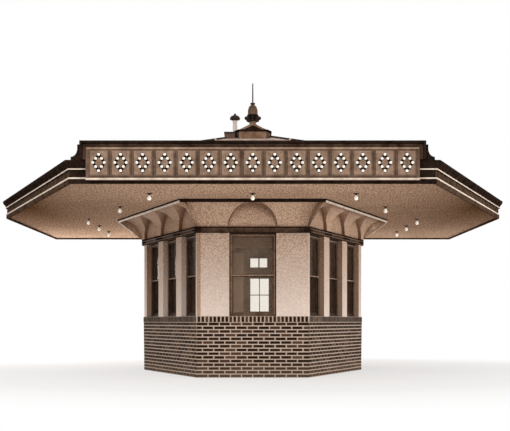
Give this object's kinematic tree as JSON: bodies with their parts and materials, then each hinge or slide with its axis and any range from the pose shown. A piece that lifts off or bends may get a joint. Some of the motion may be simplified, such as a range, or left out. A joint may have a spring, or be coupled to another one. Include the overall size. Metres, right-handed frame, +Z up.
{
  "type": "filling station canopy",
  "caption": "Small nose-shaped brick and stucco kiosk under a wide cantilevered canopy with a coved underside, moulded cornice, sign board, low hipped roof and cupola.",
  "frame": {"origin": "centre of the whole object's box, on the ground", "axes": "+Z up, +Y from the sign front to the back, +X to the right seen from the front"},
  "size_m": [11.1406, 12.5608, 5.97],
  "materials": {
    "concrete": "rough trowelled",
    "brick": "dark brown brick with pale mortar",
    "stucco": "cream stucco, floated",
    "cove_plaster": "tan stucco",
    "soffit_plaster": "tan rough-cast plaster on boards",
    "dark_trim": "dark brown oil paint",
    "cream_trim": "cream oil paint",
    "joinery": "dark brown oil paint",
    "glass": "clear window glass",
    "brass": "worn",
    "roofing": "boarding under pale weathered roofing",
    "roof_iron": "dark painted sheet work on wood",
    "galvanised": "dull galvanised",
    "sign_ground": "dark brown oil paint",
    "sign_panels": "cream enamel paint",
    "lamp_iron": "dark paint",
    "bulb_glass": "frosted"
  },
  "bodies": {
    "building": {"floor": "concrete", "dado_front": "brick", "dado_nose_left": "brick", "dado_nose_right": "brick", "dado_side_left": "brick", "dado_side_right": "brick", "dado_rear_left": "brick", "dado_rear_right": "brick", "piers_front": "stucco", "piers_left": "stucco", "piers_right": "stucco", "piers_rear": "stucco", "impost_band": "dark_trim", "cove_front": "cove_plaster", "cove_nose_left": "cove_plaster", "cove_nose_right": "cove_plaster", "cove_side_left": "cove_plaster", "cove_side_right": "cove_plaster", "cove_rear": "cove_plaster", "cove_bead": "cream_trim", "window_front": "joinery", "windows_left": "joinery", "windows_right": "joinery", "windows_rear": "joinery", "glass_front": "glass", "glass_left": "glass", "glass_right": "glass", "glass_rear": "glass", "door_frame": "joinery", "transom_glass": "glass", "soffit": "soffit_plaster", "foot_moulding": "dark_trim", "frieze": "dark_trim", "cornice": "dark_trim", "roof": "roofing", "hip_rolls": "roof_iron", "cupola_curb": "roof_iron", "cupola_cap": "roof_iron", "finial": "roof_iron", "vent_pipe": "galvanised", "sign_board": "sign_ground", "sign_crown": "dark_trim", "sign_panels": "sign_panels", "sign_consoles": "dark_trim", "lamp_plates": "lamp_iron", "lamp_bulbs": "bulb_glass"},
    "door": {"door_leaf": "joinery", "door_glass": "glass", "door_knobs": "brass"}
  },
  "joints": [
    {"name": "door_hinge", "type": "hinge", "parent": "building", "child": "door", "pos_m": [0.527, 3.0114, 1.1], "axis": [0, 0, 1], "range_deg": [0, 95]}
  ]
}
